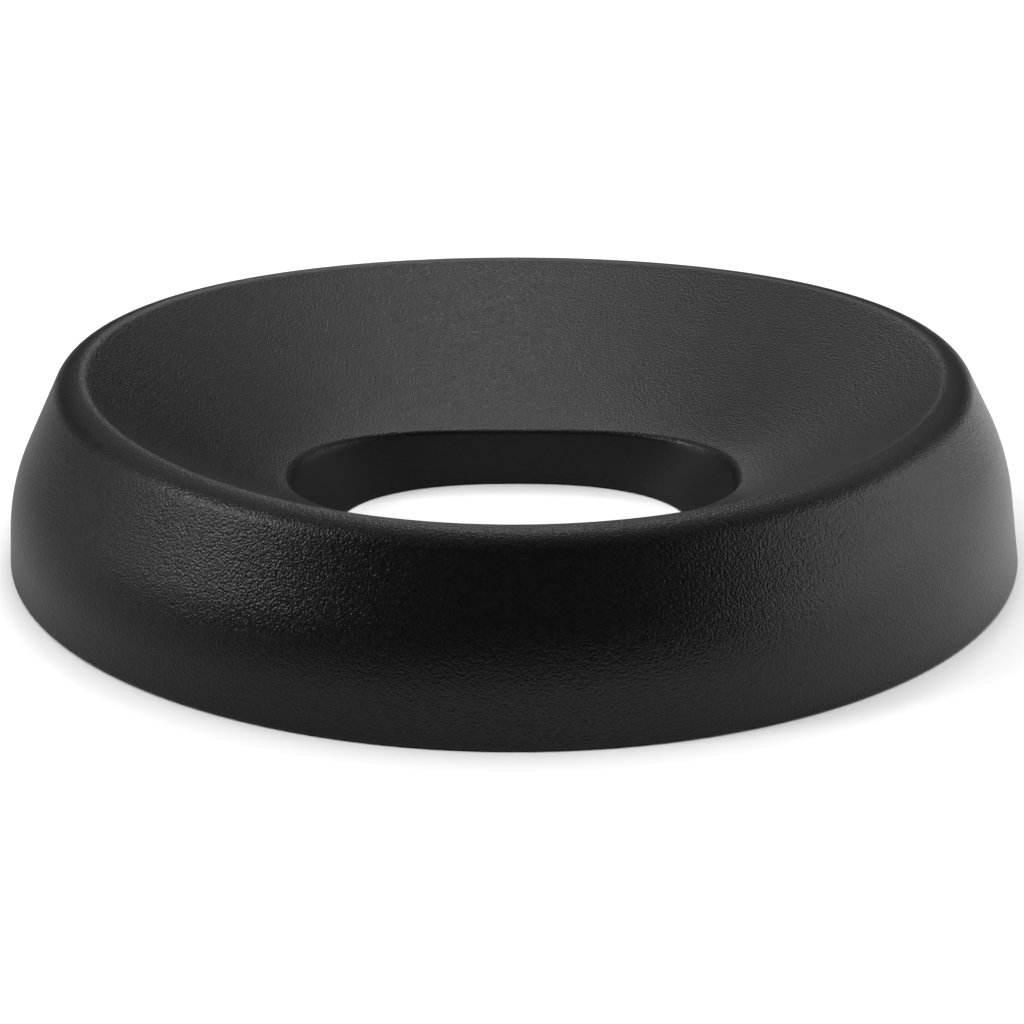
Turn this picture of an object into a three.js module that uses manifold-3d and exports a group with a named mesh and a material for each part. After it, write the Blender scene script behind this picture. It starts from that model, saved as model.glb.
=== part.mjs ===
// A moulded toilet flange: a black shell with a rolled rim, a bowl and an oval neck, closed from
// below by a screwed base ring that holds the floor gasket and the neck seal.
// Millimetres, +Z up. The origin is on the floor, at the centre of the base circle; -Y is the front.
import * as THREE from "three";
import { mergeVertices } from "three/addons/utils/BufferGeometryUtils.js";
import Module from "manifold-3d";

const wasm = await Module();
wasm.setup();

// ---- Driving dimensions ----
const baseRadius = 89; // a standard 7 inch (178 mm) closet flange
const height = 31.6; // mean height of the rim
const wall = 3.2; // moulded wall thickness
const clearance = 0.4; // gap between the base ring and the walls around it
const turns = 60; // facets round the big rings
const smallTurns = 16; // facets round screws, inserts and washers
const holeTurns = 20; // facets round bosses and screw holes

// ---- Shell: outer wall, rim and bowl ----
const creaseRadius = 0.982 * baseRadius; // where the lower band meets the cone
const creaseHeight = 14.6;
const creaseShift = { radius: 0.9, height: 2.4 }; // the crease is lower and wider at -X than at +X
const creaseReach = 3; // how far above and below the crease its rounding starts
const creaseEasing = 0.35; // and how far the rounding pulls it in
const crest = 0.849 * baseRadius; // radius of the rim's top line
const roll = { outer: 4.9, inner: 3 }; // the rim turns widely outside the crest and tightly inside it
const coneLean = 28; // degrees from the vertical
const bowlLean = 31; // degrees from the horizontal, just inside the rim
const bowlCurve = 1.2; // exponent of the bowl's profile: above 1 it is hollow
const edgeRadius = 0.6; // rounding of the skirt's lower edge
const sideRise = 0.056; // share by which the sides (+X and -X) stand higher and front and back lower
const frontRise = 0.039; // share by which the front stands higher and the back lower

// ---- Neck: an oval funnel ----
const neckHeight = 11.2;
const neckTop = { x: 39.9, y: 24.7 }; // half-widths of the opening at its upper edge
const neckFoot = { x: 32, y: 24.7 }; // and at the floor
const neckSquareness = 2.35; // 2 is an ellipse, higher is squarer
const roundNeck = 34; // neck radius of the round profile that is later drawn out to the oval

// ---- Base ring and what it carries ----
const ringFoot = 1; // the base ring's underside stands this far above the floor
const ringTop = 5;
const ringGap = 1.4; // between the ring's edge and the skirt, which leans in above it
const gasket = { inner: 75, outer: 81, top: 2.6 };
const seal = { inner: roundNeck + wall + clearance, outer: roundNeck + wall + 6, top: 3 };
const lip = 0.8; // bevel on the gasket's and the seal's floor edge

// ---- Inside of the shell ----
const underBowl = 1.15 * wall; // wall under the bowl, measured upright because the bowl slopes
const cavityRim = { radius: crest, height: height - 2 * wall }; // top of the cavity
const cavityBowlEnd = crest - 3; // the cavity follows the bowl as far as this radius
const innerCrease = { radius: creaseRadius - wall - 1.2, height: creaseHeight + 1 };
const skirtMiddle = [
  [baseRadius - wall / 2 - 0.8, ringTop],
  [creaseRadius - wall / 2 - 1.2, creaseHeight - 1],
]; // two points halfway through the skirt's wall

// ---- Fasteners ----
const screws = { count: 6, circle: 60, first: 30 }; // number, radius of the circle, first angle
const shank = { radius: 1.5, tip: 13, pointRadius: 0.8, pointLength: 1 };
const head = { radius: 2.9, foot: 1.2, top: 2.8, bevelWidth: 0.6, bevelHeight: 0.7 };
const socket = { radius: 1.35, depth: 1 }; // hexagon recess in the head
const washer = { inner: 1.7, outer: 3.2, top: 3.4 };
const insert = { inner: 1.9, outer: 2.7, top: 11.5 };
const groove = { depth: 0.35, halfWidth: 1, halfFloor: 0.6 }; // round the insert's middle
const boss = { radius: 5, bore: 3, boreTop: 14 };
const ribThickness = 2;

const degrees = Math.PI / 180;
const rimInner = crest - roll.inner * Math.sin(bowlLean * degrees);
const rimInnerHeight = height - roll.inner * (1 - Math.cos(bowlLean * degrees));

// ---- Materials ----
const plastic = new THREE.MeshStandardMaterial({ color: 0x17181a, roughness: 0.5, metalness: 0 });
const innerPlastic = new THREE.MeshStandardMaterial({ color: 0x2b2d30, roughness: 0.6, metalness: 0 });
const rubber = new THREE.MeshStandardMaterial({ color: 0x0e0e0f, roughness: 0.85, metalness: 0 });
const washerRubber = new THREE.MeshStandardMaterial({ color: 0x3a3a3c, roughness: 0.9, metalness: 0 });
const steel = new THREE.MeshStandardMaterial({ color: 0xb4b7ba, roughness: 0.35, metalness: 1 });
const brass = new THREE.MeshStandardMaterial({ color: 0xc8a14e, roughness: 0.35, metalness: 1 });

// ---- Helpers ----

// Turns a closed profile of [radius, height] points about +Z.
function revolve(profile, segments = turns) {
  const points = [...profile, profile[0]].map(([radius, z]) => new THREE.Vector2(radius, z));
  return new THREE.LatheGeometry(points, segments).rotateX(Math.PI / 2);
}

// Points along a circular arc in the profile plane, from one angle to another, in degrees.
function arc(radius, z, bend, from, to, steps) {
  return Array.from({ length: steps + 1 }, (_, i) => {
    const angle = (from + ((to - from) * i) / steps) * degrees;
    return [radius + bend * Math.cos(angle), z + bend * Math.sin(angle)];
  });
}

// Upright cylinder that reaches equally far above and below the floor.
function rod(radius, reach) {
  return new THREE.CylinderGeometry(radius, radius, 2 * reach, holeTurns).rotateX(Math.PI / 2);
}

function solid(geometry) {
  geometry.deleteAttribute("normal");
  geometry.deleteAttribute("uv");
  const merged = mergeVertices(geometry, 1e-4);
  return new wasm.Manifold(
    new wasm.Mesh({
      numProp: 3,
      vertProperties: merged.attributes.position.array,
      triVerts: new Uint32Array(merged.index.array),
    }),
  );
}

function geometryOf(manifold) {
  const mesh = manifold.getMesh();
  const geometry = new THREE.BufferGeometry();
  geometry.setAttribute("position", new THREE.BufferAttribute(mesh.vertProperties, 3));
  geometry.setIndex(new THREE.BufferAttribute(mesh.triVerts, 1));
  return geometry;
}

// A geometry moved out to each place on the screw circle, joined into one solid.
function aroundScrewCircle(geometry, firstAngle, radius) {
  const copies = Array.from({ length: screws.count }, (_, i) => {
    const copy = geometry.clone().translate(radius, 0, 0);
    return solid(copy.rotateZ((firstAngle + (360 / screws.count) * i) * degrees));
  });
  return copies.reduce((joined, copy) => joined.add(copy));
}

// Radius of the oval opening in one direction, at one height.
function neckRadius(angle, z) {
  const rise = Math.min(Math.max(z / neckHeight, 0), 1);
  const halfX = neckFoot.x + (neckTop.x - neckFoot.x) * rise;
  const halfY = neckFoot.y + (neckTop.y - neckFoot.y) * rise;
  const alongX = Math.abs(Math.cos(angle) / halfX) ** neckSquareness;
  const alongY = Math.abs(Math.sin(angle) / halfY) ** neckSquareness;
  return (alongX + alongY) ** (-1 / neckSquareness);
}

// Draws a round piece out to the oval: the neck's radius becomes the oval's, the rim stays round,
// and everything between moves in proportion.
function drawOut(geometry) {
  const position = geometry.attributes.position;
  for (let i = 0; i < position.count; i++) {
    const x = position.getX(i);
    const y = position.getY(i);
    const radius = Math.hypot(x, y);
    if (radius >= rimInner) continue;
    const oval = neckRadius(Math.atan2(y, x), position.getZ(i));
    const stretch = (rimInner - oval) / (rimInner - roundNeck);
    const scale = (oval + (radius - roundNeck) * stretch) / radius;
    position.setXY(i, x * scale, y * scale);
  }
  return geometry;
}

// Gives the moulding its wavy rim: above the base ring, heights grow or shrink with direction.
function raiseSides(geometry) {
  const position = geometry.attributes.position;
  for (let i = 0; i < position.count; i++) {
    const above = position.getZ(i) - ringTop;
    if (above <= 0) continue;
    const angle = Math.atan2(position.getY(i), position.getX(i));
    const share = 1 + sideRise * Math.cos(2 * angle) - frontRise * Math.sin(angle);
    position.setZ(i, ringTop + above * share);
  }
  return geometry;
}

// ---- Profiles of the shell ----

// The bowl, from just inside the rim down to the neck's upper edge, moved down by drop.
function bowlLine(steps, drop, start = rimInner, end = roundNeck) {
  return Array.from({ length: steps + 1 }, (_, i) => {
    const radius = start + ((end - start) * i) / steps;
    const out = Math.max((radius - roundNeck) / (rimInner - roundNeck), 0);
    return [radius, neckHeight + (rimInnerHeight - neckHeight) * out ** bowlCurve - drop];
  });
}

const bandDraft = (baseRadius - creaseRadius) / creaseHeight;
const coneDraft = Math.tan(coneLean * degrees);
const creasePoints = [
  [creaseRadius + bandDraft * creaseReach, creaseHeight - creaseReach],
  [creaseRadius - creaseEasing, creaseHeight],
  [creaseRadius - coneDraft * creaseReach, creaseHeight + creaseReach],
];

function shellProfile() {
  return [
    ...arc(baseRadius - edgeRadius, edgeRadius, edgeRadius, -90, 0, 2),
    ...creasePoints,
    ...arc(crest, height - roll.outer, roll.outer, coneLean, 90, 4),
    ...arc(crest, height - roll.inner, roll.inner, 90, 90 + bowlLean, 2).slice(1),
    ...bowlLine(8, 0).slice(1),
    [roundNeck, edgeRadius],
    [roundNeck + edgeRadius, 0],
    [roundNeck + wall, 0],
    ...bowlLine(6, underBowl, roundNeck + wall, cavityBowlEnd),
    [cavityRim.radius, cavityRim.height],
    [innerCrease.radius, innerCrease.height],
    [baseRadius - wall, 0],
  ];
}

// Moves the crease round the outer wall: down and out at -X, up and in at +X.
function tiltCrease(geometry, profile) {
  const position = geometry.attributes.position;
  const first = profile.indexOf(creasePoints[0]);
  const perTurn = profile.length + 1;
  for (let i = 0; i < position.count; i++) {
    const place = (i % perTurn) - first;
    if (place < 0 || place >= creasePoints.length) continue;
    const radius = Math.hypot(position.getX(i), position.getY(i));
    const toRight = position.getX(i) / radius;
    const scale = 1 - (creaseShift.radius * toRight) / radius;
    position.setXYZ(
      i,
      position.getX(i) * scale,
      position.getY(i) * scale,
      position.getZ(i) + creaseShift.height * toRight,
    );
  }
  return geometry;
}

// The room between the base ring and the middle of the shell's wall: bosses and ribs fill part of it.
function underside() {
  const neckMiddle = roundNeck + wall / 2;
  const profile = [
    [neckMiddle, ringTop],
    ...skirtMiddle,
    [crest, height - 1.5 * wall],
    ...bowlLine(8, underBowl / 2, rimInner, neckMiddle),
  ];
  return solid(raiseSides(drawOut(revolve(profile))));
}

function flangeShell() {
  const profile = shellProfile();
  const skin = solid(raiseSides(drawOut(tiltCrease(revolve(profile), profile))));
  const plate = new THREE.BoxGeometry(baseRadius, ribThickness, 2 * height);
  const posts = aroundScrewCircle(rod(boss.radius, height), screws.first, screws.circle);
  const plates = aroundScrewCircle(plate, screws.first + 180 / screws.count, baseRadius / 2);
  const holes = aroundScrewCircle(rod(boss.bore, boss.boreTop), screws.first, screws.circle);
  const stiffening = posts.add(plates).intersect(underside());
  return geometryOf(skin.add(stiffening).subtract(holes));
}

// ---- Parts under the shell ----

function baseRing() {
  const inner = roundNeck + wall + clearance;
  const outer = baseRadius - wall - ringGap;
  const profile = [
    [seal.outer + clearance, ringFoot],
    [gasket.inner - clearance, ringFoot],
    [gasket.inner - clearance, gasket.top],
    [gasket.outer + clearance, gasket.top],
    [gasket.outer + clearance, ringFoot],
    [outer, ringFoot],
    [outer, ringTop],
    [inner, ringTop],
    [inner, seal.top],
    [seal.outer + clearance, seal.top],
  ];
  const counterbore = rod(washer.outer + clearance, washer.top);
  const hole = rod(washer.inner, 2 * ringTop);
  return geometryOf(
    solid(drawOut(revolve(profile)))
      .subtract(aroundScrewCircle(counterbore, screws.first, screws.circle))
      .subtract(aroundScrewCircle(hole, screws.first, screws.circle)),
  );
}

// Rubber ring in the base ring's outer groove. Its foot touches the floor.
function floorGasket() {
  return revolve([
    [gasket.inner + lip, 0],
    [gasket.outer - lip, 0],
    [gasket.outer, lip],
    [gasket.outer, gasket.top],
    [gasket.inner, gasket.top],
    [gasket.inner, lip],
  ]);
}

// Rubber ring round the neck, which follows its oval.
function neckSeal() {
  const profile = [
    [seal.inner, 0],
    [seal.outer - lip, 0],
    [seal.outer, lip],
    [seal.outer, seal.top],
    [seal.inner, seal.top],
  ];
  return drawOut(revolve(profile));
}

function baseScrew() {
  const profile = [
    [0, head.foot],
    [head.radius - head.bevelWidth, head.foot],
    [head.radius, head.foot + head.bevelHeight],
    [head.radius, head.top],
    [shank.radius, head.top],
    [shank.radius, shank.tip - shank.pointLength],
    [shank.pointRadius, shank.tip],
    [0, shank.tip],
  ];
  const points = profile.map(([radius, z]) => new THREE.Vector2(radius, z));
  const body = new THREE.LatheGeometry(points, smallTurns).rotateX(Math.PI / 2);
  const recess = new THREE.CylinderGeometry(socket.radius, socket.radius, 2 * socket.depth, 6);
  recess.rotateX(Math.PI / 2).translate(0, 0, head.foot);
  return geometryOf(solid(body).subtract(solid(recess)));
}

function sealingWasher() {
  const profile = [
    [washer.inner, head.top],
    [washer.outer, head.top],
    [washer.outer, washer.top],
    [washer.inner, washer.top],
  ];
  return revolve(profile, smallTurns);
}

// Threaded insert with a groove round its middle that locks it in the boss.
function brassInsert() {
  const middle = (ringTop + insert.top) / 2;
  const profile = [
    [insert.inner, ringTop],
    [insert.outer, ringTop],
    [insert.outer, middle - groove.halfWidth],
    [insert.outer - groove.depth, middle - groove.halfFloor],
    [insert.outer - groove.depth, middle + groove.halfFloor],
    [insert.outer, middle + groove.halfWidth],
    [insert.outer, insert.top],
    [insert.inner, insert.top],
  ];
  return revolve(profile, smallTurns);
}

// ---- Assembly ----
const group = new THREE.Group();

function place(name, geometry, material, angle = null) {
  const mesh = new THREE.Mesh(geometry, material);
  mesh.name = name;
  if (angle !== null) {
    mesh.position.set(screws.circle * Math.cos(angle), screws.circle * Math.sin(angle), 0);
  }
  group.add(mesh);
}

place("flange_shell", flangeShell(), plastic);
place("base_ring", baseRing(), innerPlastic);
place("floor_gasket", floorGasket(), rubber);
place("neck_seal", neckSeal(), rubber);

for (let i = 0; i < screws.count; i++) {
  const angle = (screws.first + (360 / screws.count) * i) * degrees;
  place(`base_screw_${i + 1}`, baseScrew(), steel, angle);
  place(`sealing_washer_${i + 1}`, sealingWasher(), washerRubber, angle);
  place(`brass_insert_${i + 1}`, brassInsert(), brass, angle);
}

export default group;
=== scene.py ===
"""A black moulded toilet flange on a white floor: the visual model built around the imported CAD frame."""
import math

import bmesh
import bpy
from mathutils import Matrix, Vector

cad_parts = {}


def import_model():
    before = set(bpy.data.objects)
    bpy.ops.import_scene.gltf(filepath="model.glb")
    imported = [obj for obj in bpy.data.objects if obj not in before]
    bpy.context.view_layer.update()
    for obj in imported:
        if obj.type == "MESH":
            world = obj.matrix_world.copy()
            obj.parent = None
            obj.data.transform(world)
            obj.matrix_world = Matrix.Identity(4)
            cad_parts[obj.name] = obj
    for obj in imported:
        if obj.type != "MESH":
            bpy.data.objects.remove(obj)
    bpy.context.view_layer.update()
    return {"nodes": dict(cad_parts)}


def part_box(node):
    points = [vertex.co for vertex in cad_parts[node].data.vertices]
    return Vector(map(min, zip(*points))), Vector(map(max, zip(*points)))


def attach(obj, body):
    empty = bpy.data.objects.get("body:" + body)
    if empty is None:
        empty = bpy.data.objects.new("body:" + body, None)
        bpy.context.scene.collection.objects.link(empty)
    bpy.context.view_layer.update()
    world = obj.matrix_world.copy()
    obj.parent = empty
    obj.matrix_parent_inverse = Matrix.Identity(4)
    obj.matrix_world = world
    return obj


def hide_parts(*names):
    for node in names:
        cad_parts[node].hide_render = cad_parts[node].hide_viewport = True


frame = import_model()

# ---- Driving dimensions, in metres, from the frame ----
MM = 0.001
SHELL_LOW, SHELL_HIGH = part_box("flange_shell")
BASE_RADIUS = (SHELL_HIGH.x - SHELL_LOW.x) / 2
RING_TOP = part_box("base_ring")[1].z
SIDE_RISE = 0.056  # share by which the sides stand higher, and front and back lower
FRONT_RISE = 0.039  # share by which the front stands higher, and the back lower
HEIGHT = RING_TOP + (SHELL_HIGH.z - RING_TOP) / (1 + SIDE_RISE)
WALL = 3.2 * MM

# Outer wall
CREASE_RADIUS = 0.982 * BASE_RADIUS
CREASE_HEIGHT = 14.6 * MM
CREASE_SHIFT_OUT = 0.9 * MM  # outward at -X and inward at +X
CREASE_SHIFT_UP = 2.4 * MM  # up at +X and down at -X
CREASE_SOFTNESS = 6.0 * MM
EDGE_ROUND = 0.6 * MM

# Rolled rim
CREST_RADIUS = 0.849 * BASE_RADIUS
OUTER_ROLL = 4.9 * MM
INNER_ROLL = 3.0 * MM
CONE_LEAN = math.radians(28)
BOWL_LEAN = math.radians(31)
RIM_INNER = CREST_RADIUS - INNER_ROLL * math.sin(BOWL_LEAN)
RIM_INNER_HEIGHT = HEIGHT - INNER_ROLL * (1 - math.cos(BOWL_LEAN))

# Bowl and oval neck
BOWL_CURVE = 1.2  # power of the bowl's rise: 1 is a straight slope
NECK_HEIGHT = 11.2 * MM
NECK_TOP = (39.9 * MM, 24.7 * MM)  # half width and half depth of the opening
NECK_FOOT = (32.0 * MM, 24.7 * MM)
NECK_SQUARENESS = 2.35  # 2 is an ellipse, and more is squarer
ROUND_NECK = 34 * MM  # neck of the round form that is drawn out to the oval
NECK_SOFTNESS = 0.9 * MM

# Hollow under the shell
BOWL_DROP = 1.15 * WALL  # thickness of the sloping bowl, measured upright
HOLLOW_END = CREST_RADIUS - 3 * MM  # where the bowl's underside meets the rim's
CREASE_THICKER = 1.2 * MM  # by how much the wall is thicker behind the crease
CREASE_OFFSET = 1 * MM  # height between the crease and the bend inside the wall

# Posts, ribs and screws
BOSS_RADIUS = 5 * MM
BORE_RADIUS = 3 * MM
BORE_TOP = 14 * MM
RIB_THICKNESS = 2 * MM
RIB_SHORT = 0.8 * MM  # by how much a rib's foot ends short of the middle of the wall
SCREW_COUNT = 6
SCREW_CIRCLE = 60 * MM
FIRST_SCREW = math.radians(30)
SCREW_LOW, SCREW_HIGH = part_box("base_screw_1")
HEAD_RADIUS = (SCREW_HIGH.x - SCREW_LOW.x) / 2
HEAD_TOP = 2.8 * MM
HEAD_ROUND = (0.6 * MM, 0.7 * MM)  # across and up
SOCKET_APOTHEM = 1.17 * MM
SOCKET_DEPTH = 1 * MM
SOCKET_LIP = (0.12 * MM, 0.1 * MM)  # across and up
SHANK_RADIUS = 1.5 * MM
THREAD_START = 4 * MM
THREAD_TURNS = 14
THREAD_PITCH = 0.5 * MM
THREAD_DEPTH = 0.25 * MM
POINT_RADIUS = 0.8 * MM
POINT_LENGTH = 1 * MM

# Rubber rings
RUBBER_WIDTH = 6 * MM
RUBBER_GAP = 0.4 * MM
BEAD_DEPTH = 0.4 * MM
GASKET_LOW, GASKET_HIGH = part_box("floor_gasket")
GASKET_OUTER = (GASKET_HIGH.x - GASKET_LOW.x) / 2
GASKET_INNER = GASKET_OUTER - RUBBER_WIDTH
SEAL_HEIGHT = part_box("neck_seal")[1].z
SEAL_INNER = ROUND_NECK + WALL + RUBBER_GAP
SEAL_OUTER = ROUND_NECK + WALL + RUBBER_WIDTH

# Turned sections
SEGMENTS = 384
SMALL_SEGMENTS = 48
AXIS = 0.01 * MM  # closest that a turned section comes to its own axis

# Surface of the moulding
GRAIN_SPACING = 0.4 * MM
GRAIN_DEPTH = 0.08 * MM
PEBBLE_SHARE = -0.7  # pebbles stand up where the distance to their middle is small
GRAIN_STARTS = NECK_HEIGHT - 1.6 * MM
GRAIN_FULL = NECK_HEIGHT - 0.4 * MM
SHEEN_SPACING = 25 * MM
SHEEN = (0.285, 0.32)  # least and greatest roughness of the grained plastic
SMOOTH_ROUGHNESS = 0.6
SPECULAR = 0.32

# Stage
FLOOR_HALF = 12 * BASE_RADIUS
FLOOR_DROP = 0.05 * MM
CAMERA_BACK = 5.268 * BASE_RADIUS
CAMERA_UP = 2.098 * BASE_RADIUS
CAMERA_PITCH = math.radians(21.29)
SENSOR_WIDTH = 36  # lens and sensor in millimetres
LENS = 98.96
LENS_SHIFT = -0.0021


# ---- Curves in the profile plane; a point is (radius, height) ----
def line(start, end, steps):
    """Points from start to end, without the last one."""
    return [
        tuple(a + (b - a) * i / steps for a, b in zip(start, end)) for i in range(steps)
    ]


def arc(centre, radius, first, last, steps):
    """Points along an arc, both ends included; angles in radians."""
    angles = [first + (last - first) * i / steps for i in range(steps + 1)]
    return [
        (centre[0] + radius * math.cos(a), centre[1] + radius * math.sin(a))
        for a in angles
    ]


def bend(start, corner, end, steps):
    """A smooth turn round a corner, both ends included."""
    points = []
    for i in range(steps + 1):
        t = i / steps
        weights = ((1 - t) ** 2, 2 * t * (1 - t), t * t)
        points.append(
            tuple(
                weights[0] * a + weights[1] * b + weights[2] * c
                for a, b, c in zip(start, corner, end)
            )
        )
    return points


def toward(point, target, distance):
    """The point that lies a distance from point, on the way to target."""
    length = math.dist(point, target)
    return tuple(a + (b - a) * distance / length for a, b in zip(point, target))


# ---- The shell's profile ----
def outer_wall(angle):
    """Lower band, soft crease and cone. The crease is lower and wider at -X."""
    to_right = math.cos(angle)
    crease = (
        CREASE_RADIUS - CREASE_SHIFT_OUT * to_right,
        CREASE_HEIGHT + CREASE_SHIFT_UP * to_right,
    )
    foot = arc(
        (BASE_RADIUS - EDGE_ROUND, EDGE_ROUND), EDGE_ROUND, -math.pi / 2, 0, 5
    )
    roll_foot = rim_roll()[0]
    before = toward(crease, foot[-1], CREASE_SOFTNESS)
    after = toward(crease, roll_foot, CREASE_SOFTNESS)
    return (
        foot[:-1]
        + line(foot[-1], before, 12)
        + bend(before, crease, after, 12)[:-1]
        + line(after, roll_foot, 10)
    )


def rim_roll():
    """A wide turn up to the crest and a tight one down into the bowl."""
    crest = math.pi / 2
    outer = arc((CREST_RADIUS, HEIGHT - OUTER_ROLL), OUTER_ROLL, CONE_LEAN, crest, 16)
    inner = arc((CREST_RADIUS, HEIGHT - INNER_ROLL), INNER_ROLL, crest, crest + BOWL_LEAN, 10)
    return outer + inner[1:]


def bowl_height(radius):
    out = max((radius - ROUND_NECK) / (RIM_INNER - ROUND_NECK), 0)
    return NECK_HEIGHT + (RIM_INNER_HEIGHT - NECK_HEIGHT) * out**BOWL_CURVE


def bowl_and_neck():
    """From just inside the rim down the bowl, over the soft edge and down the neck."""
    edge_start = ROUND_NECK + NECK_SOFTNESS
    steps = 36
    radii = [RIM_INNER + (edge_start - RIM_INNER) * i / steps for i in range(steps + 1)]
    slope = [(radius, bowl_height(radius)) for radius in radii]
    below = (ROUND_NECK, NECK_HEIGHT - NECK_SOFTNESS)
    edge = bend(slope[-1], (ROUND_NECK, NECK_HEIGHT), below, 8)
    foot = arc(
        (ROUND_NECK + EDGE_ROUND, EDGE_ROUND), EDGE_ROUND, math.pi, 1.5 * math.pi, 4
    )
    return slope[1:] + edge[1:] + line(below, foot[0], 8)[1:] + foot


def cavity():
    """Underside of the moulding: up the outside of the neck, under the bowl and down the skirt."""
    neck_outer = ROUND_NECK + WALL
    steps = 24
    radii = [neck_outer + (HOLLOW_END - neck_outer) * i / steps for i in range(steps + 1)]
    under_bowl = [(radius, bowl_height(radius) - BOWL_DROP) for radius in radii]
    under_rim = (CREST_RADIUS, HEIGHT - 2 * WALL)
    crease = (CREASE_RADIUS - WALL - CREASE_THICKER, CREASE_HEIGHT + CREASE_OFFSET)
    skirt_foot = (BASE_RADIUS - WALL, 0)
    return (
        line((neck_outer, 0), under_bowl[0], 6)
        + under_bowl
        + line(under_rim, crease, 6)
        + line(crease, skirt_foot, 8)
        + [skirt_foot]
    )


def shell_profile(angle):
    return outer_wall(angle) + rim_roll() + bowl_and_neck() + cavity()


# ---- Drawing a round form out to the oval neck ----
def neck_radius(angle, height):
    rise = min(max(height / NECK_HEIGHT, 0), 1)
    half_x = NECK_FOOT[0] + (NECK_TOP[0] - NECK_FOOT[0]) * rise
    half_y = NECK_FOOT[1] + (NECK_TOP[1] - NECK_FOOT[1]) * rise
    along_x = abs(math.cos(angle) / half_x) ** NECK_SQUARENESS
    along_y = abs(math.sin(angle) / half_y) ** NECK_SQUARENESS
    return (along_x + along_y) ** (-1 / NECK_SQUARENESS)


def drawn_out(angle, radius, height):
    """The neck's radius becomes the oval's, the rim stays round, and the rest moves in proportion."""
    if radius >= RIM_INNER:
        return radius
    oval = neck_radius(angle, height)
    stretch = (RIM_INNER - oval) / (RIM_INNER - ROUND_NECK)
    return oval + (radius - ROUND_NECK) * stretch


def raised(angle, height):
    """Above the base ring, heights grow or shrink with direction, which gives the wavy rim."""
    above = height - RING_TOP
    if above <= 0:
        return height
    share = 1 + SIDE_RISE * math.cos(2 * angle) - FRONT_RISE * math.sin(angle)
    return RING_TOP + above * share


# ---- Meshes ----
def object_from(name, verts, faces, smooth=True):
    mesh = bpy.data.meshes.new(name)
    mesh.from_pydata(verts, [], faces)
    bm = bmesh.new()
    bm.from_mesh(mesh)
    bmesh.ops.recalc_face_normals(bm, faces=bm.faces)
    bm.to_mesh(mesh)
    bm.free()
    for polygon in mesh.polygons:
        polygon.use_smooth = smooth
    obj = bpy.data.objects.new(name, mesh)
    bpy.context.scene.collection.objects.link(obj)
    return obj


def revolve(name, profile_at, segments=SEGMENTS, oval=False, wavy=False, centre=(0, 0)):
    """A closed profile carried round an upright axis; profile_at(angle) gives its points."""
    verts = []
    for i in range(segments):
        angle = 2 * math.pi * i / segments
        for radius, height in profile_at(angle):
            if oval:
                radius = drawn_out(angle, radius, height)
            if wavy:
                height = raised(angle, height)
            x = centre[0] + radius * math.cos(angle)
            y = centre[1] + radius * math.sin(angle)
            verts.append((x, y, height))
    count = len(verts) // segments
    faces = []
    for i in range(segments):
        here = i * count
        there = ((i + 1) % segments) * count
        for j in range(count):
            after = (j + 1) % count
            faces.append((here + j, there + j, there + after, here + after))
    return object_from(name, verts, faces)


# ---- Pieces under the shell ----
def on_circle(index):
    angle = FIRST_SCREW + 2 * math.pi * index / SCREW_COUNT
    return SCREW_CIRCLE * math.cos(angle), SCREW_CIRCLE * math.sin(angle)


def bowl_surface(x, y):
    """Height of the bowl's upper surface above a point of the floor."""
    angle = math.atan2(y, x)
    oval = neck_radius(angle, NECK_HEIGHT)
    out = (math.hypot(x, y) - oval) / (RIM_INNER - oval)
    return raised(angle, bowl_height(ROUND_NECK + out * (RIM_INNER - ROUND_NECK)))


def boss(name, centre):
    """A post with a blind bore, whose top ends inside the sloping wall of the bowl."""

    def profile(angle):
        x = centre[0] + BOSS_RADIUS * math.cos(angle)
        y = centre[1] + BOSS_RADIUS * math.sin(angle)
        return [
            (AXIS, BORE_TOP),
            (BORE_RADIUS, BORE_TOP),
            (BORE_RADIUS, RING_TOP),
            (BOSS_RADIUS, RING_TOP),
            (BOSS_RADIUS, bowl_surface(x, y) - WALL / 2),
            (AXIS, bowl_surface(*centre) - WALL / 2),
        ]

    return revolve(name, profile, SMALL_SEGMENTS, centre=centre)


def rib(name, angle):
    """An upright web from the neck to the skirt, whose top ends inside the wall."""
    skirt = [
        (BASE_RADIUS - WALL / 2 - RIB_SHORT, RING_TOP),
        (CREASE_RADIUS - WALL / 2 - CREASE_THICKER, CREASE_HEIGHT - CREASE_OFFSET),
        (CREST_RADIUS, HEIGHT - 1.5 * WALL),
    ]
    inner = neck_radius(angle, NECK_HEIGHT) + WALL / 2
    across = (math.cos(angle), math.sin(angle))
    steps = 16
    outline = [(inner, RING_TOP)]
    for i in range(steps + 1):
        radius = inner + (RIM_INNER - inner) * i / steps
        surface = bowl_surface(radius * across[0], radius * across[1])
        outline.append((radius, surface - WALL / 2))
    outline += [(radius, raised(angle, height)) for radius, height in reversed(skirt)]
    verts = []
    for side in (-RIB_THICKNESS / 2, RIB_THICKNESS / 2):
        for radius, height in outline:
            x = radius * across[0] - side * across[1]
            y = radius * across[1] + side * across[0]
            verts.append((x, y, height))
    count = len(outline)
    faces = [tuple(range(count)), tuple(range(count, 2 * count))]
    for i in range(count):
        after = (i + 1) % count
        faces.append((i, after, after + count, i + count))
    return object_from(name, verts, faces, smooth=False)


def beaded(inner, outer, top, beads):
    """Section of a rubber ring with rounded beads that touch the floor."""
    steps = 12 * beads
    underside = []
    for i in range(steps + 1):
        across = i / steps
        height = BEAD_DEPTH * (1 + math.cos(2 * math.pi * beads * across))
        underside.append((inner + (outer - inner) * across, height))
    return underside + [(outer, top), (inner, top)]


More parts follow.
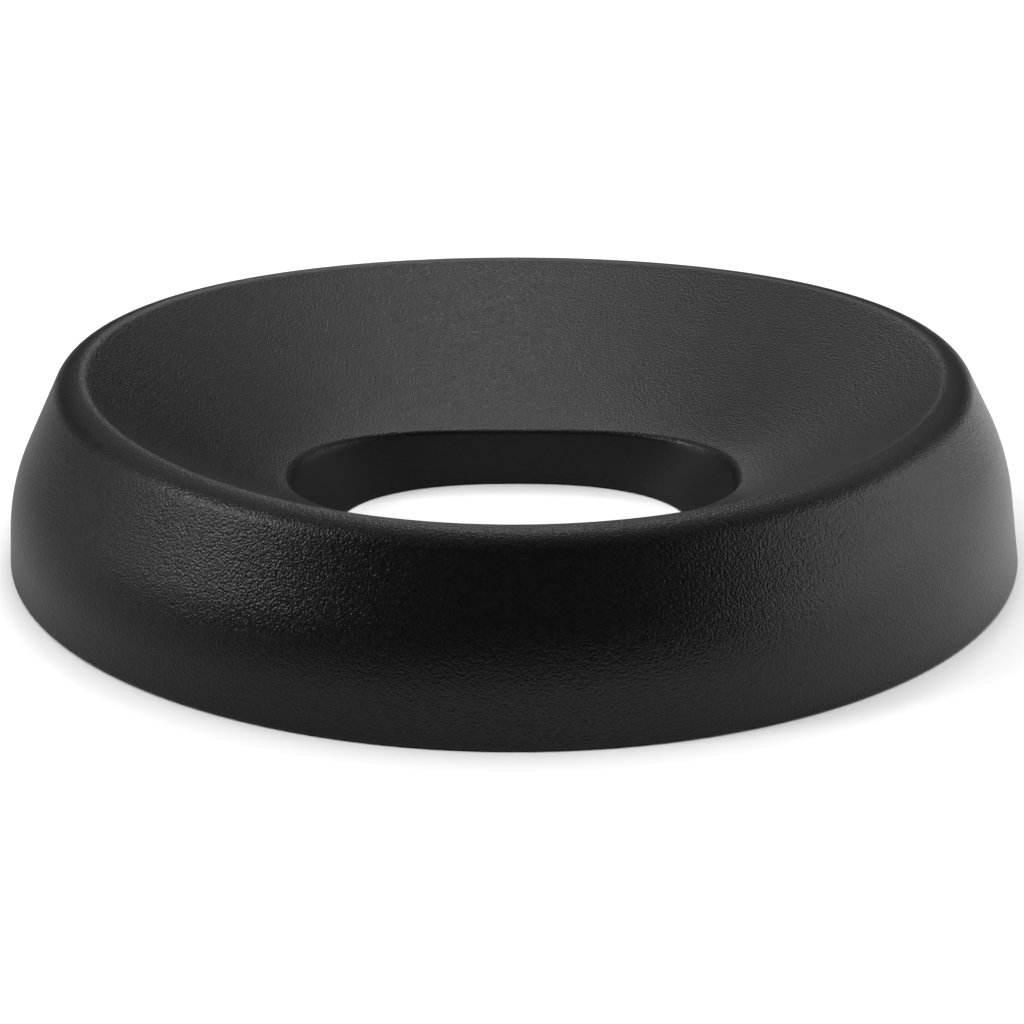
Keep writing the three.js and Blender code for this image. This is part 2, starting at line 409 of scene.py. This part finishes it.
def screw(name, centre):
    """Hexagon-socket screw: the socket's outline changes with direction, the rest is round."""

    def profile(angle):
        foot = SCREW_LOW.z
        off_middle = angle % (math.pi / 3) - math.pi / 6
        socket = SOCKET_APOTHEM / math.cos(off_middle)
        recess = [
            (AXIS, foot + SOCKET_DEPTH),
            (socket, foot + SOCKET_DEPTH),
            (socket, foot + SOCKET_LIP[1]),
            (socket + SOCKET_LIP[0], foot),
        ]
        rounded = bend(
            (HEAD_RADIUS - HEAD_ROUND[0], foot),
            (HEAD_RADIUS, foot),
            (HEAD_RADIUS, foot + HEAD_ROUND[1]),
            6,
        )
        head = [(HEAD_RADIUS, HEAD_TOP), (SHANK_RADIUS, HEAD_TOP)]
        thread = []
        for turn in range(THREAD_TURNS):
            height = THREAD_START + turn * THREAD_PITCH
            thread.append((SHANK_RADIUS, height))
            thread.append((SHANK_RADIUS - THREAD_DEPTH, height + THREAD_PITCH / 2))
        tip = [
            (SHANK_RADIUS, SCREW_HIGH.z - POINT_LENGTH),
            (POINT_RADIUS, SCREW_HIGH.z),
            (AXIS, SCREW_HIGH.z),
        ]
        return recess + rounded + head + thread + tip

    return revolve(name, profile, SMALL_SEGMENTS, centre=centre)


# ---- Materials ----
def new_material(name):
    material = bpy.data.materials.new(name)
    material.use_nodes = True
    return material, material.node_tree.nodes, material.node_tree.links


def add_math(nodes, operation, constant=0.0):
    """A math node; the constant stands in its second input."""
    node = nodes.new("ShaderNodeMath")
    node.operation = operation
    node.inputs[1].default_value = constant
    return node


def add_remap(nodes, source, result, smooth=False):
    """A node that carries the source range over to the result range and stops at both ends."""
    node = nodes.new("ShaderNodeMapRange")
    if smooth:
        node.interpolation_type = "SMOOTHSTEP"
    node.inputs["From Min"].default_value, node.inputs["From Max"].default_value = source
    node.inputs["To Min"].default_value, node.inputs["To Max"].default_value = result
    return node


def add_ramp(nodes, dark, light, positions=(0.0, 1.0)):
    """A colour ramp from dark to light."""
    node = nodes.new("ShaderNodeValToRGB")
    for element, position, colour in zip(node.color_ramp.elements, positions, (dark, light)):
        element.position = position
        element.color = (*colour, 1)
    return node


def grain_mask(nodes, links, place):
    """One on the outside and in the bowl, falling to zero just below the top edge of the neck."""
    across = nodes.new("ShaderNodeVectorMath")
    across.operation = "MULTIPLY"
    across.inputs[1].default_value = (1, 1, 0)
    links.new(place.outputs["Object"], across.inputs[0])
    radius = nodes.new("ShaderNodeVectorMath")
    radius.operation = "LENGTH"
    links.new(across.outputs["Vector"], radius.inputs[0])
    outside = add_math(nodes, "GREATER_THAN", (RIM_INNER + ROUND_NECK) / 2)
    links.new(radius.outputs["Value"], outside.inputs[0])
    split = nodes.new("ShaderNodeSeparateXYZ")
    links.new(place.outputs["Object"], split.inputs[0])
    above = add_remap(nodes, (GRAIN_STARTS, GRAIN_FULL), (0, 1))
    links.new(split.outputs["Z"], above.inputs["Value"])
    mask = add_math(nodes, "MAXIMUM")
    links.new(outside.outputs[0], mask.inputs[0])
    links.new(above.outputs["Result"], mask.inputs[1])
    return mask.outputs[0]


def grained_plastic():
    """Satin black moulding: a pebbled leather grain with fine noise, and slow changes of gloss."""
    material, nodes, links = new_material("grained_black_plastic")
    shader = nodes["Principled BSDF"]
    shader.inputs["Specular IOR Level"].default_value = SPECULAR
    place = nodes.new("ShaderNodeTexCoord")
    pebbles = nodes.new("ShaderNodeTexVoronoi")
    pebbles.inputs["Scale"].default_value = 1 / GRAIN_SPACING
    fine = nodes.new("ShaderNodeTexNoise")
    fine.inputs["Scale"].default_value = 1 / GRAIN_SPACING
    fine.inputs["Detail"].default_value = 2
    slow = nodes.new("ShaderNodeTexNoise")
    slow.inputs["Scale"].default_value = 1 / SHEEN_SPACING
    slow.inputs["Detail"].default_value = 4
    for texture in (pebbles, fine, slow):
        links.new(place.outputs["Object"], texture.inputs["Vector"])
    grain = add_math(nodes, "MULTIPLY_ADD", PEBBLE_SHARE)
    links.new(pebbles.outputs["Distance"], grain.inputs[0])
    links.new(fine.outputs["Fac"], grain.inputs[2])
    mask = grain_mask(nodes, links, place)
    bump = nodes.new("ShaderNodeBump")
    bump.inputs["Distance"].default_value = GRAIN_DEPTH
    links.new(grain.outputs[0], bump.inputs["Height"])
    links.new(mask, bump.inputs["Strength"])
    links.new(bump.outputs["Normal"], shader.inputs["Normal"])
    gloss = add_remap(nodes, (0, 1), SHEEN)
    links.new(slow.outputs["Fac"], gloss.inputs["Value"])
    matt = nodes.new("ShaderNodeMix")
    matt.data_type = "FLOAT"
    matt.inputs["A"].default_value = SMOOTH_ROUGHNESS
    links.new(mask, matt.inputs["Factor"])
    links.new(gloss.outputs["Result"], matt.inputs["B"])
    links.new(matt.outputs["Result"], shader.inputs["Roughness"])
    tone = add_ramp(nodes, (0.002, 0.002, 0.0022), (0.006, 0.006, 0.0067), (0.35, 0.65))
    links.new(fine.outputs["Fac"], tone.inputs["Fac"])
    links.new(tone.outputs["Color"], shader.inputs["Base Color"])
    return material


def simple_surface(name, dark, light, roughness, metallic, scale, depth):
    """A surface with fine grain: colour and height vary with noise of the given scale."""
    material, nodes, links = new_material(name)
    shader = nodes["Principled BSDF"]
    shader.inputs["Roughness"].default_value = roughness
    shader.inputs["Metallic"].default_value = metallic
    place = nodes.new("ShaderNodeTexCoord")
    noise = nodes.new("ShaderNodeTexNoise")
    noise.inputs["Scale"].default_value = 1 / scale
    noise.inputs["Detail"].default_value = 4
    links.new(place.outputs["Object"], noise.inputs["Vector"])
    tone = add_ramp(nodes, dark, light)
    links.new(noise.outputs["Fac"], tone.inputs["Fac"])
    links.new(tone.outputs["Color"], shader.inputs["Base Color"])
    bump = nodes.new("ShaderNodeBump")
    bump.inputs["Strength"].default_value = 0.4
    bump.inputs["Distance"].default_value = depth
    links.new(noise.outputs["Fac"], bump.inputs["Height"])
    links.new(bump.outputs["Normal"], shader.inputs["Normal"])
    return material


def dress(obj, material):
    obj.data.materials.clear()
    obj.data.materials.append(material)


# ---- The object ----
def add(obj, node, material):
    """Put a piece on the root body in place of a CAD node."""
    dress(obj, material)
    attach(obj, "root")
    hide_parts(node)


black = grained_plastic()
dark_plastic = simple_surface(
    "ring_plastic", (0.03, 0.031, 0.033), (0.055, 0.056, 0.06), 0.6, 0, 0.6 * MM, 0.04 * MM
)
seal_rubber = simple_surface(
    "seal_rubber", (0.008, 0.008, 0.008), (0.02, 0.02, 0.02), 0.8, 0, 0.5 * MM, 0.05 * MM
)
washer_rubber = simple_surface(
    "washer_rubber", (0.03, 0.03, 0.031), (0.06, 0.06, 0.062), 0.85, 0, 0.4 * MM, 0.04 * MM
)
steel = simple_surface(
    "screw_steel", (0.5, 0.51, 0.52), (0.66, 0.67, 0.68), 0.32, 1, 0.3 * MM, 0.01 * MM
)
brass = simple_surface(
    "insert_brass", (0.62, 0.44, 0.18), (0.78, 0.58, 0.27), 0.34, 1, 0.3 * MM, 0.01 * MM
)

shell = revolve("shell", shell_profile, oval=True, wavy=True)
add(shell, "flange_shell", black)

gasket = revolve(
    "gasket_ring", lambda angle: beaded(GASKET_INNER, GASKET_OUTER, GASKET_HIGH.z, 2)
)
add(gasket, "floor_gasket", seal_rubber)

seal = revolve(
    "seal_ring", lambda angle: beaded(SEAL_INNER, SEAL_OUTER, SEAL_HEIGHT, 1), oval=True
)
add(seal, "neck_seal", seal_rubber)

for index in range(SCREW_COUNT):
    number = index + 1
    post = boss(f"boss_{number}", on_circle(index))
    add(post, "flange_shell", black)
    between = FIRST_SCREW + 2 * math.pi * (index + 0.5) / SCREW_COUNT
    add(rib(f"rib_{number}", between), "flange_shell", black)
    turned = screw(f"screw_{number}", on_circle(index))
    add(turned, f"base_screw_{number}", steel)

dress(frame["nodes"]["base_ring"], dark_plastic)
for number in range(1, SCREW_COUNT + 1):
    dress(frame["nodes"][f"sealing_washer_{number}"], washer_rubber)
    dress(frame["nodes"][f"brass_insert_{number}"], brass)


# ---- Floor, light and camera ----
def product(nodes, links, first, second):
    """The product of two remap nodes."""
    node = add_math(nodes, "MULTIPLY")
    links.new(first.outputs["Result"], node.inputs[0])
    links.new(second.outputs["Result"], node.inputs[1])
    return node.outputs[0]


def floor():
    """White floor. Its colour in the object's gloss is painted shade: glossy rays see it darker at the
    left and far behind the object.
    """
    corners = [(-1, -1), (1, -1), (1, 1), (-1, 1)]
    verts = [(x * FLOOR_HALF, y * FLOOR_HALF, 0) for x, y in corners]
    plane = object_from("floor", verts, [(0, 1, 2, 3)], smooth=False)
    plane.location.z = -FLOOR_DROP
    material, nodes, links = new_material("white_floor")
    shader = nodes["Principled BSDF"]
    shader.inputs["Roughness"].default_value = 0.7
    shader.inputs["Specular IOR Level"].default_value = 0.2
    place = nodes.new("ShaderNodeTexCoord")
    split = nodes.new("ShaderNodeSeparateXYZ")
    links.new(place.outputs["Object"], split.inputs[0])
    # Painted shade in reflections: for glossy rays only, the floor's colour darkens towards the left (X)
    # and far behind (Y).
    rightward = add_remap(nodes, (-0.15, 0.2), (0.32, 1.0))
    links.new(split.outputs["X"], rightward.inputs["Value"])
    far = add_remap(nodes, (0.12, 0.5), (1.0, 0.2))
    links.new(split.outputs["Y"], far.inputs["Value"])
    path = nodes.new("ShaderNodeLightPath")
    tone = nodes.new("ShaderNodeMix")
    tone.data_type = "RGBA"
    tone.inputs["A"].default_value = (0.86, 0.86, 0.86, 1)
    links.new(product(nodes, links, rightward, far), tone.inputs["B"])
    links.new(path.outputs["Is Glossy Ray"], tone.inputs["Factor"])
    links.new(tone.outputs["Result"], shader.inputs["Base Color"])
    dress(plane, material)


def world():
    """A soft grey room for reflections, dark in front and low down; the camera sees white."""
    scene_world = bpy.data.worlds.new("studio")
    bpy.context.scene.world = scene_world
    scene_world.use_nodes = True
    nodes = scene_world.node_tree.nodes
    links = scene_world.node_tree.links
    background = nodes["Background"]
    background.inputs["Color"].default_value = (1, 1, 1, 1)
    place = nodes.new("ShaderNodeTexCoord")
    split = nodes.new("ShaderNodeSeparateXYZ")
    links.new(place.outputs["Generated"], split.inputs[0])
    behind = add_remap(nodes, (-0.5, 0.45), (0.03, 1), smooth=True)
    links.new(split.outputs["Y"], behind.inputs["Value"])
    overhead = add_remap(nodes, (0.15, 0.8), (0.05, 0.7), smooth=True)
    links.new(split.outputs["Z"], overhead.inputs["Value"])
    path = nodes.new("ShaderNodeLightPath")
    seen = nodes.new("ShaderNodeMix")
    seen.data_type = "FLOAT"
    seen.inputs["B"].default_value = 1.1
    links.new(path.outputs["Is Camera Ray"], seen.inputs["Factor"])
    links.new(product(nodes, links, behind, overhead), seen.inputs["A"])
    links.new(seen.outputs["Result"], background.inputs["Strength"])


def softbox(name, direction, distance, size, radiance, mirrored=True):
    """A rectangular light that faces the object; mirrored ones also show in its gloss."""
    light = bpy.data.lights.new(name, "AREA")
    light.shape = "RECTANGLE"
    light.size, light.size_y = size
    light.energy = radiance * math.pi * size[0] * size[1]
    obj = bpy.data.objects.new(name, light)
    toward_light = Vector(direction).normalized()
    obj.location = toward_light * distance
    obj.rotation_euler = toward_light.to_track_quat("Z", "Y").to_euler()
    obj.visible_glossy = mirrored
    bpy.context.scene.collection.objects.link(obj)


def lights():
    """Small boxes make the highlights, and wide ones the soft sheen of the two sides."""
    softbox("top", (0.03, 0.5, 0.87), 1.2, (0.15, 0.15), 19)
    softbox("back", (-0.04, 0.55, 0.25), 0.6, (0.16, 0.16), 1.4)
    softbox("right", (0.95, 0.02, 0.25), 1.2, (1.4, 0.5), 2.1)
    softbox("right_front", (0.85, -0.36, 0.4), 1.3, (0.5, 0.5), 0.9)
    softbox("left", (-0.92, 0.1, 0.22), 1.2, (0.8, 0.3), 1.2)
    softbox("left_front", (-0.8, -0.21, 0.56), 1.2, (0.26, 0.4), 15)
    softbox("room", (0, 0, 1), 2.5, (3, 3), 2.4, mirrored=False)


def camera():
    """A long lens in front of the ring, looking down at it at 21 degrees."""
    data = bpy.data.cameras.new("camera")
    data.sensor_width = SENSOR_WIDTH
    data.lens = LENS
    data.shift_x = LENS_SHIFT
    obj = bpy.data.objects.new("camera", data)
    obj.location = (0, -CAMERA_BACK, CAMERA_UP)
    obj.rotation_euler = (math.pi / 2 - CAMERA_PITCH, 0, 0)
    bpy.context.scene.collection.objects.link(obj)
    bpy.context.scene.camera = obj


floor()
world()
lights()
camera()
bpy.context.scene.view_settings.view_transform = "Standard"
